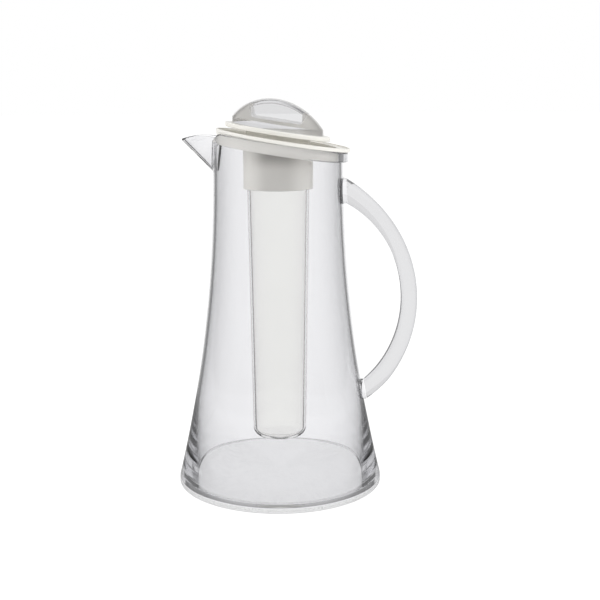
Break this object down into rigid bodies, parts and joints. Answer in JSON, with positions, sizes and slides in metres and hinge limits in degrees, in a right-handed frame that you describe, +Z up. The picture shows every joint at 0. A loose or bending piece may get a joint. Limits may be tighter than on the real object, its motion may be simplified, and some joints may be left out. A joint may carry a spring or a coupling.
{
  "type": "ice tube pitcher",
  "caption": "Clear plastic pitcher with a flared body, slanted rim, beak spout, crescent handle, white lid and a screw-in ice tube under a knobbed stopper.",
  "frame": {"origin": "on the body's axis, on the surface that the pitcher stands on", "axes": "+Z up along the body's axis; -X towards the spout and +X towards the handle; the part is symmetric about the XZ plane"},
  "size_m": [0.1747, 0.1492, 0.2793],
  "materials": {
    "clear_body": "clear moulded acrylic, polished",
    "clear_knob": "clear moulded acrylic, polished",
    "clear_tube": "clear moulded styrene, glossy",
    "white_plastic": "warm white moulded polypropylene, satin",
    "silicone": "translucent grey silicone"
  },
  "bodies": {
    "pitcher": {"pitcher_body": "clear_body", "base_disc": "clear_body", "handle": "clear_body"},
    "lid": {"lid": "white_plastic"},
    "stopper": {"stopper_disc": "white_plastic", "knob": "clear_knob"},
    "washer": {"tube_washer": "silicone"},
    "ice_tube": {"ice_tube": "clear_tube"}
  },
  "joints": [
    {"name": "lid_lift", "type": "slide", "parent": "pitcher", "child": "lid", "axis": [0, 0, 1], "range_m": [0, 0.235]},
    {"name": "stopper_lift", "type": "slide", "parent": "lid", "child": "stopper", "axis": [0, 0, 1], "range_m": [0, 0.03]},
    {"name": "washer_drop", "type": "slide", "parent": "lid", "child": "washer", "axis": [0, 0, -1], "range_m": [0, 0.02]},
    {"name": "tube_unscrew", "type": "hinge", "parent": "washer", "child": "ice_tube", "pos_m": [0, 0, 0.2364], "axis": [0, 0, -1], "range_deg": [0, 720]}
  ],
  "couplings": [
    {"joint": "tube_unscrew", "follows": "washer_drop", "rad_per_m": 628.3}
  ]
}
